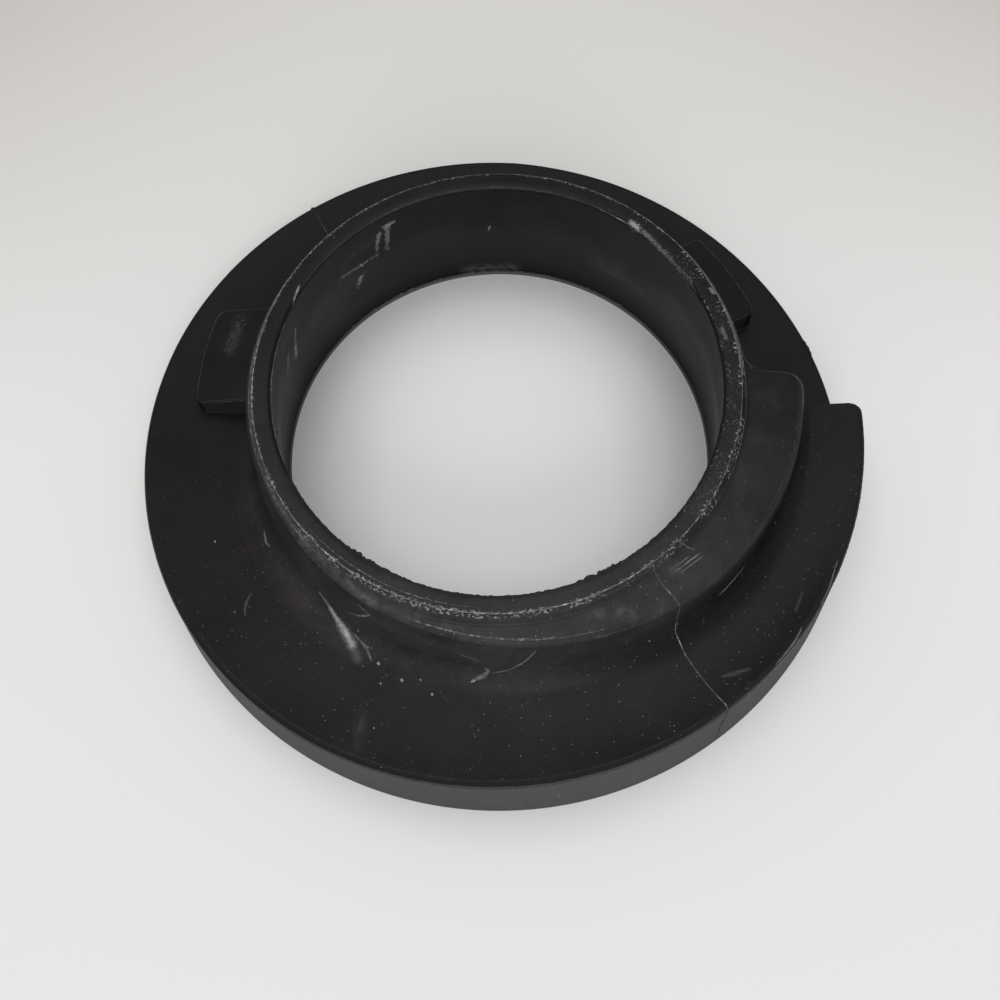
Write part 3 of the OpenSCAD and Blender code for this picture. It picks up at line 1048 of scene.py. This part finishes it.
class Effects:
    """Shader groups that more than one finish uses, each built once."""

    def __init__(self) -> None:
        """Builds the groups."""
        self.mottle = self.build_mottle()
        self.smudge = self.build_smudge()
        self.specks = self.build_specks()

    def build_mottle(self) -> bpy.types.NodeTree:
        """Cloudy or grainy patches of one size, cut between two levels."""
        tree, entry = new_group("mottle", {"Size": 5.0, "Low": 0.4, "High": 0.6})
        scale = Field(tree, entry.outputs["Size"]).power(-1.0)
        noise = add_node(tree, "ShaderNodeTexNoise", {"Vector": entry.outputs["Place"], "Scale": scale, "Detail": 4.0})
        low, high = Field(tree, entry.outputs["Low"]), Field(tree, entry.outputs["High"])
        return close_group(tree, ((Field(tree, noise.outputs[0]) - low) / (high - low)).ease())

    def build_smudge(self) -> bpy.types.NodeTree:
        """Nearness to a line from start to end: one on it, none at the width."""
        tree, entry = new_group("smudge", {"Start": (0.0,) * 3, "End": (1.0, 0.0, 0.0), "Width": 3.0})
        place, start, end = (entry.outputs[name] for name in ("Place", "Start", "End"))

        def vector(operation: str, output: int, *values: object) -> bpy.types.NodeSocket:
            """Result of one vector node."""
            node = add_node(tree, "ShaderNodeVectorMath", operation=operation)
            for socket, value in zip(node.inputs, values):
                feed(tree, socket, value)
            return node.outputs[output]

        path = vector("SUBTRACT", 0, end, start)
        step = vector("SUBTRACT", 0, place, start)
        length = Field(tree, vector("DOT_PRODUCT", 1, path, path))
        along = (Field(tree, vector("DOT_PRODUCT", 1, step, path)) / length).unit()
        reached = add_node(tree, "ShaderNodeVectorMath", {0: path, "Scale": along}, operation="SCALE")
        away = Field(tree, vector("LENGTH", 1, vector("SUBTRACT", 0, step, reached.outputs[0])))
        return close_group(tree, 1 - (away / Field(tree, entry.outputs["Width"])).unit())

    def build_specks(self) -> bpy.types.NodeTree:
        """Scattered small dots."""
        tree, entry = new_group("specks", {"Cell": 4.0, "Radius": 0.2, "Share": 0.4})
        cell, radius = Field(tree, entry.outputs["Cell"]), Field(tree, entry.outputs["Radius"])
        cells = add_node(tree, "ShaderNodeTexVoronoi", {"Vector": entry.outputs["Place"], "Scale": cell.power(-1.0)})
        away = Field(tree, cells.outputs["Distance"]) * cell
        parts = add_node(tree, "ShaderNodeSeparateColor", {0: cells.outputs["Color"]})
        chosen = Field(tree, parts.outputs[0]).math("LESS_THAN", Field(tree, entry.outputs["Share"]))
        size = radius * (0.5 + Field(tree, parts.outputs[1]))
        return close_group(tree, ((1 - away / size) * 3).unit() * chosen)


class Ground:
    """A material's tree with the place on the piece in millimetres as numbers."""

    def __init__(self, name: str) -> None:
        """Starts the material."""
        self.material = bpy.data.materials.new(name)
        self.material.use_nodes = True
        self.tree = self.material.node_tree
        self.shader = self.tree.nodes["Principled BSDF"]
        coordinates = self.tree.nodes.new("ShaderNodeTexCoord")
        grown = add_node(
            self.tree, "ShaderNodeVectorMath", {0: coordinates.outputs["Object"], "Scale": 1 / MM}, operation="SCALE"
        )
        self.place = grown.outputs[0]
        parts = add_node(self.tree, "ShaderNodeSeparateXYZ", {0: self.place})
        self.x, self.y, self.z = (Field(self.tree, parts.outputs[i]) for i in range(3))
        self.r = (self.x * self.x + self.y * self.y).root()
        self.front = -(self.y / self.r)
        self.right = self.x / self.r

    def group(self, tree: bpy.types.NodeTree, **values: object) -> Field:
        """Places a shader group and gives its mask."""
        node = add_node(self.tree, "ShaderNodeGroup", node_tree=tree)
        for name, value in {"Place": self.place, **values}.items():
            feed(self.tree, node.inputs[name], value)
        return Field(self.tree, node.outputs[0])

    def mix(self, share: Field, under: object, over: object) -> bpy.types.NodeSocket:
        """Lays one colour over another by a mask."""
        node = add_node(self.tree, "ShaderNodeMix", data_type="RGBA")
        for index, value in ((0, share), (6, under), (7, over)):
            feed(self.tree, node.inputs[index], (*value, 1.0) if isinstance(value, tuple) else value)
        return node.outputs[2]


@dataclass(frozen=True)
class Smudge:
    """A soft pale patch about a line on the rubber."""

    start: Triple
    end: Triple
    width: float
    strength: float
    ragged: float = 0.55
    edge: float = 3.0

    def near(self, g: Ground, effects: Effects) -> Field:
        """Nearness of the place on the piece to the patch's line."""
        return g.group(effects.smudge, Start=self.start, End=self.end, Width=self.width)


@dataclass(frozen=True)
class Rubber:
    """Black moulded rubber: its own colour, the grey bloom on it with painted sheen and painted light mixed in, the
    film on its outer wall and its gloss.
    """

    name: str = "black_rubber"
    colour: Triple = (0.0040, 0.0036, 0.0037)
    worn: Triple = (0.0078, 0.0070, 0.0069)
    # Grey of the bloom, also used for the painted sheen and painted light.
    clay: Triple = (0.0150, 0.0098, 0.0080)
    bloom: Triple = (0.095, 0.091, 0.095)
    film: Triple = (0.056, 0.053, 0.0495)
    dust: Triple = (0.42, 0.42, 0.42)
    smooth: float = 0.40
    rough: float = 0.60
    specular: float = 0.125
    smudges: tuple[Smudge, ...] = (
        Smudge((-45.6, -22.4, 38.3), (-38.1, -33.9, 37.9), 3.0, 0.6),
        Smudge((-38.1, -33.9, 37.9), (-26.1, -45.7, 36.9), 3.2, 0.6),
        Smudge((-26.1, -45.7, 36.9), (-8, -52.5, 36.6), 3.0, 0.3),
        Smudge((17.0, -50.0, 37), (18.3, -50.3, 36.9), 2.0, 0.45),
        Smudge((21.8, -49.7, 36.7), (23.8, -50.1, 36.4), 2.6, 0.5),
        Smudge((-6, 49.8, 2.4), (5, 49.9, 2.4), 3.6, 0.9),
        Smudge((-54, -20, 30), (-43, -40, 30), 9.0, 0.07),
        Smudge((27.1, 40.4, 14.7), (35.2, 33.5, 14.3), 7.0, 0.34),
        Smudge((40, 27.2, 17.1), (43.9, 18.4, 25.3), 9.0, 0.2),
        Smudge((-31, 37, 22), (-40, 27, 24), 9.0, 0.16),
        Smudge((-46, 14, 22), (-47, 4, 24), 9.0, 0.14),
        Smudge((29.8, -40.9, 38.6), (33, -42, 36.8), 3.5, 0.35),
        Smudge((-50, -30, 14), (-40, -44, 15), 6.0, 0.05),
        Smudge((-29.8, -62, 16), (-30.4, -67, 17), 2.0, 0.13),
        Smudge((-30.1, -65, 16.7), (-31.2, -71, 17.6), 2.8, 0.17),
        Smudge((-60, 31, 15), (-62.5, 21, 15), 4.0, 0.1),
        Smudge((8, -66, 17), (-6, -62, 18), 7.0, 0.05),
        Smudge((-43, -37, 20), (-33, -52, 15.5), 5.0, 0.05),
        Smudge((-26, 40, 33), (-33, 35, 31), 4.0, 0.3),
    )
    # Pale soft streaks, laid in the same pale grey as the specks; the long one runs down the groove fillet at the front
    # left.
    streaks: tuple[Smudge, ...] = (
        Smudge((-38.5, -39.2, 20), (-35.2, -44.3, 17.3), 0.9, 0.35, 0.3, 1.6),
        Smudge((-36.4, -42.4, 18.1), (-33.3, -47.4, 16.6), 1.3, 0.4, 0.35, 1.4),
        Smudge((-34.4, -45.6, 17.0), (-32.4, -49.3, 16.1), 1.9, 0.36, 0.25, 1.2),
        Smudge((-33.4, -47.2, 16.6), (-32.3, -49.6, 16.1), 1.0, 0.25, 0.3, 1.6),
        Smudge((-32.6, -49.0, 16.2), (-31.1, -52.4, 15.6), 1.6, 0.13, 0.25, 1.1),
        Smudge((-23.0, 40.8, 34.6), (-23.9, 40.8, 24.6), 1.1, 0.36),
        Smudge((-25.0, 39.7, 33.6), (-26.4, 39.3, 24.9), 0.9, 0.4),
        Smudge((-21.8, 41.3, 35.4), (-23.6, 40.5, 35.2), 1.1, 0.4),
        Smudge((-26.3, 39.3, 24.9), (-30.0, 36.9, 25.1), 1.0, 0.45),
        Smudge((-29.5, 37.3, 24.9), (-33.9, 33.3, 26.3), 1.0, 0.3),
        Smudge((-30.6, 37.1, 19.9), (-31.4, 36.8, 17.4), 1.3, 0.5),
        Smudge((-31.2, 36.8, 18.0), (-31.7, 36.7, 15.7), 0.9, 0.4),
        Smudge((-43.5, 18.1, 29.7), (-44.6, 17.1, 23.0), 0.9, 0.34),
        Smudge((-44.5, 17.2, 23.6), (-45, 16.9, 19.9), 1.4, 0.4),
        Smudge((-45.6, 13.6, 26.4), (-46.3, 11.9, 21.6), 1.1, 0.24),
        Smudge((-60.2, 29.6, 15.2), (-62.3, 22.5, 15.2), 2.4, 0.05, 1.25, 4.0),
        Smudge((30.7, 35.6, 39.4), (31.8, 34.4, 39.2), 1.3, 0.6, 0.6, 2.0),
        Smudge((33.1, 33.3, 39.4), (36.3, 29.2, 38.9), 0.8, 0.22, 0.5, 2.0),
        Smudge((36.3, 29.2, 38.9), (41.8, 20.4, 38.9), 0.9, 0.2, 0.8),
        Smudge((45.9, 18.3, 39.6), (46.5, 17.3, 39.6), 0.8, 0.3, 0.6, 2.0),
        Smudge((47.2, 8.8, 39.6), (47.7, 6.5, 39.6), 0.8, 0.2, 0.7, 2.0),
    )
    # Lug sides that face the front, painted lighter against their shade: each lug's direction and the side's offset.
    lug_faces: tuple[tuple[float, float], ...] = ((29.0, -3.5), (177.5, -6.2))

    def build(self, effects: Effects, moulding: Moulding) -> bpy.types.Material:
        """Builds the material.

        Args:
            effects: The shared shader groups.
            moulding: The sizes that its zones follow.

        Returns:
            The material.
        """
        g = Ground(self.name)
        draft_k = math.tan(math.radians(moulding.draft))
        taper = (moulding.bore_base_d - moulding.bore_top_d) / 2 / moulding.neck_h
        front, side = g.front.climb(-0.3, 1.0), g.right * g.right
        wall = (g.r + g.z * draft_k).climb(moulding.base_d / 2 - 0.45, moulding.base_d / 2 - 0.25)
        inside = 1 - (g.r + g.z * taper).climb(moulding.bore_base_d / 2 + 0.25, moulding.bore_base_d / 2 + 0.5)
        foot = (1 - g.z.climb(1.5, 2.0)) * (1 - g.r.climb(50.9, 51.2))
        top = g.z.climb(31.0, 35.0) * (1 - inside)
        rim = top * (1 - g.r.climb(49.8, 50.2))
        slope = top * g.r.between(50.3, 51.6, 0.3)
        ledge = top * g.r.climb(51.6, 52.2)
        ramp = (1 - top) * (1 - inside)
        clouds = g.group(effects.mottle, Size=16.0, Low=0.3, High=0.72)
        fine = g.group(effects.mottle, Size=2.2, Low=0.3, High=0.75)
        neck = ramp * (1 - g.r.climb(58.0, 62.5))
        # Grey bloom with painted sheen: ramp, rim, slope and shoulder are painted paler towards the front as a painted
        # reflection of the front light, the shoulder a little darker at the right, and the neck's front is painted
        # lighter against its shade. The bore wall is paler on its left and right.
        bloom = ramp * (0.004 + front * front * 0.07) + neck * front * 0.3
        bloom += rim * (0.03 + front * 0.19)
        bloom += slope * (0.04 + front * front * 0.27)
        bloom += ledge * (0.035 + front * 0.22 - g.right.climb(0.5, 1.0) * 0.045)
        bloom += inside * (0.012 + side * 0.14)
        bloom = bloom * (0.62 + clouds * 0.44 + fine * 0.28)
        broken = g.group(effects.mottle, Size=1.8, Low=0.34, High=0.66) * 0.8 + 0.2
        patches = inside * 0.0
        for smudge in self.smudges:
            near = smudge.near(g, effects)
            patches += near * near * smudge.strength
        # Painted light: the front-facing side of each lug is lifted out of its shade.
        for direction, lateral in self.lug_faces:
            turn = math.radians(direction)
            face = (g.y * math.cos(turn) - g.x * math.sin(turn)).between(lateral - 0.22, lateral + 0.22, 0.12)
            face = face * (g.x * math.cos(turn) + g.y * math.sin(turn)).climb(30.0, 40.0)
            bloom += face * ramp * g.r.between(51.0, 69.0, 0.5) * 0.2
        haze = g.group(effects.mottle, Size=9.0, Low=0.46, High=0.7)
        bloom += patches * broken + haze * (ramp * 0.012 + inside * 0.05 + ledge * 0.1)
        brown = ramp * front * (0.0 - g.right).climb(0.1, 0.75) * (1 - g.r.climb(60.0, 74.0)) * (haze * 0.5 + 0.5)
        base = g.mix(brown, g.mix(clouds, self.colour, self.worn), self.clay)
        # The bloom with its painted sheen and painted light, laid over the rubber's own colour.
        bloom_and_sheen_laid = g.mix(bloom.unit(), base, self.bloom)
        stains = g.group(effects.mottle, Size=3.4, Low=0.28, High=0.42) * 0.14 + clouds * 0.14 + 0.79
        filmed = g.mix(wall * stains * (0.72 + front * 0.3 - g.right.climb(0.3, 0.9) * 0.4), bloom_and_sheen_laid, self.film)
        footed = g.mix(foot * inside, filmed, (0.11, 0.11, 0.108))
        dots = g.group(effects.specks, Cell=3.1, Radius=0.17, Share=0.34) * g.front.climb(0.15, 0.75)
        motes = g.group(effects.specks, Cell=1.1, Radius=0.1, Share=0.75) * front
        grit = g.group(effects.mottle, Size=0.55, Low=0.3, High=0.72)
        gaps = g.group(effects.mottle, Size=4.0, Low=0.4, High=0.6)
        right = g.right.climb(0.5, 0.95)
        edge = top * (g.r.between(49.5, 51.0, 0.3) * 0.75 + rim * 0.1 + g.r.between(46.2, 47.0, 0.3) * 0.22) * right
        clumps = top * g.r.between(49.7, 50.6, 0.25) * (1 - right) * (0.35 + front * 0.25)
        pale_marks = ((grit - 0.66) * 5).unit() * gaps * edge + ((grit - 0.58) * 5).unit() * gaps * clumps
        for streak in self.streaks:
            pale_marks += ((streak.near(g, effects) - grit * streak.ragged) * streak.edge).unit() * streak.strength
        dusted = g.mix((dots * ramp * (gaps * 0.7 + 0.2) + motes * 0.45 + pale_marks).unit(), footed, self.dust)
        feed(g.tree, g.shader.inputs["Base Color"], dusted)
        gloss = self.smooth + (self.rough - self.smooth) * (clouds * 0.5 + (wall + inside).unit() * 0.9).unit()
        feed(g.tree, g.shader.inputs["Roughness"], gloss)
        g.shader.inputs["Specular IOR Level"].default_value = self.specular
        grain = g.group(effects.mottle, Size=0.7, Low=0.2, High=0.8)
        bump = add_node(g.tree, "ShaderNodeBump", {"Strength": 0.22, "Distance": 0.00012, "Height": grain})
        feed(g.tree, g.shader.inputs["Normal"], bump.outputs[0])
        return g.material


@dataclass(frozen=True)
class TornRubber:
    """Torn flash and scuffed film, with painted highlights and painted shade among them: pale where the rubber is
    broken and where a highlight is painted, dark between and where shade is painted.
    """

    name: str
    dark: Triple = (0.0075, 0.0070, 0.0070)
    pale: Triple = (0.62, 0.62, 0.62)
    grain: float = 0.9
    low: float = 0.4
    high: float = 0.72
    floor: float = 0.2
    fades: bool = False

    def build(self, effects: Effects) -> bpy.types.Material:
        """Builds the material from the shared shader groups."""
        g = Ground(self.name)
        strength = Field(g.tree, add_node(g.tree, "ShaderNodeAttribute", attribute_name="strength").outputs["Fac"])
        broken = g.group(effects.mottle, Size=self.grain, Low=self.low, High=self.high)
        broken = broken * g.group(effects.mottle, Size=self.grain * 6, Low=0.3, High=0.62)
        broken = broken * (1 - self.floor) + self.floor
        mask = strength * broken
        if self.fades:
            side = Field(g.tree, add_node(g.tree, "ShaderNodeAttribute", attribute_name="side").outputs["Fac"])
            mask = mask * (1 - side * side).unit()
            skin = add_node(g.tree, "ShaderNodeAttribute", attribute_name="skin")
            feed(g.tree, g.shader.inputs["Normal"], skin.outputs["Vector"])
        feed(g.tree, g.shader.inputs["Base Color"], g.mix(mask.unit(), self.dark, self.pale))
        g.shader.inputs["Roughness"].default_value = 0.6
        g.shader.inputs["Specular IOR Level"].default_value = 0.14
        return g.material


@dataclass
class Studio:
    """Pale floor, soft light and the camera at the photograph's angle."""

    image_px: float = 1000.0
    focal_px: float = 1000.0
    sensor_mm: float = 36.0
    camera_at: Triple = (-0.219, -95.926, 221.829)
    table_near: Triple = (0.785, 0.782, 0.775)
    table_bore: Triple = (0.9, 0.9, 0.898)
    table_far: Triple = (0.52, 0.495, 0.465)
    pitch: float = 69.380
    roll: float = 2.213

    def camera(self) -> None:
        """Creates the camera, which looks down across the ring from the front."""
        pitch, roll = math.radians(self.pitch), math.radians(self.roll)
        forward = Vector((0.0, math.cos(pitch), -math.sin(pitch)))
        right = Vector((1.0, 0.0, 0.0))
        down = forward.cross(right)
        x = math.cos(roll) * right + math.sin(roll) * down
        y = math.sin(roll) * right - math.cos(roll) * down
        data = bpy.data.cameras.new("camera")
        data.sensor_width = self.sensor_mm
        data.lens = self.sensor_mm * self.focal_px / self.image_px
        data.clip_start = 0.01
        made = bpy.data.objects.new("camera", data)
        made.matrix_world = Matrix.Translation(Vector(self.camera_at) * MM) @ Matrix((x, y, -forward)).transposed().to_4x4()
        bpy.context.scene.collection.objects.link(made)
        bpy.context.scene.camera = made

    def floor(self) -> None:
        """Pale matte table under the ring, with painted light on it inside the bore and painted shade towards the far
        side and the far corners.
        """
        size = 3.0
        made = mesh_object("floor", [(-size, -size, 0), (size, -size, 0), (size, size, 0), (-size, size, 0)], faces=[(0, 1, 2, 3)])
        g = Ground("pale_table")
        # Painted shade: the table darkens towards the far side, more so at the far corners.
        away = g.y.climb(5.0, 190.0)
        edge = (g.x * g.x).climb(0.0, 170.0**2) * g.y.climb(20.0, 140.0)
        # Painted light: the table is paler inside the bore.
        lit = g.mix(1 - g.r.climb(40.0, 49.0), self.table_near, self.table_bore)
        colour = g.mix((away * 0.55 + edge * 0.45).unit(), lit, self.table_far)
        feed(g.tree, g.shader.inputs["Base Color"], colour)
        g.shader.inputs["Roughness"].default_value = 0.9
        g.shader.inputs["Specular IOR Level"].default_value = 0.1
        material = g.material
        made.data.materials.append(material)

    def lamp(self, name: str, at: Triple, aim: Triple, size: float, power: float) -> None:
        """Adds one square soft lamp.

        Args:
            name: Its name.
            at: Where it stands, in metres.
            aim: The point that it faces, in metres.
            size: Its side in metres.
            power: Its power in watts.
        """
        data = bpy.data.lights.new(name, "AREA")
        data.size, data.energy = size, power
        made = bpy.data.objects.new(name, data)
        made.location = at
        made.rotation_euler = (Vector(aim) - Vector(at)).to_track_quat("-Z", "Y").to_euler()
        bpy.context.scene.collection.objects.link(made)

    def world(self) -> None:
        """Even soft light from all round."""
        made = bpy.data.worlds.new("soft_room")
        made.use_nodes = True
        shader = made.node_tree.nodes["Background"]
        shader.inputs["Color"].default_value = (1.0, 0.99, 0.98, 1.0)
        shader.inputs["Strength"].default_value = 0.46
        bpy.context.scene.world = made

    def build(self) -> None:
        """Sets up the whole stage."""
        self.floor()
        self.world()
        self.lamp("overhead_sheet", (0.0, 0.05, 1.3), (0, 0, 0), 1.3, 9.0)
        self.lamp("front_softbox", (0.0, -1.0, 0.78), (0, 0, 0), 0.5, 4.0)
        self.camera()
        bpy.context.scene.view_settings.view_transform = "Standard"


def main() -> None:
    """Builds the stage and every piece."""
    logging.basicConfig(level=logging.INFO, format="%(name)s: %(message)s")
    Studio().build()
    effects, moulding = Effects(), Moulding()
    ring = moulding.build(Rubber().build(effects, moulding))
    flash, pale_marks = Flash(moulding), TornRubber("torn_flash").build(effects)
    flash.ridges().build(ring, pale_marks)
    flash.webs().build(ring, pale_marks)
    Wear().scuffs(flash).build(ring, TornRubber("scuffed_film", low=0.35, floor=0.45, fades=True).build(effects))


if __name__ == "__main__":
    main()
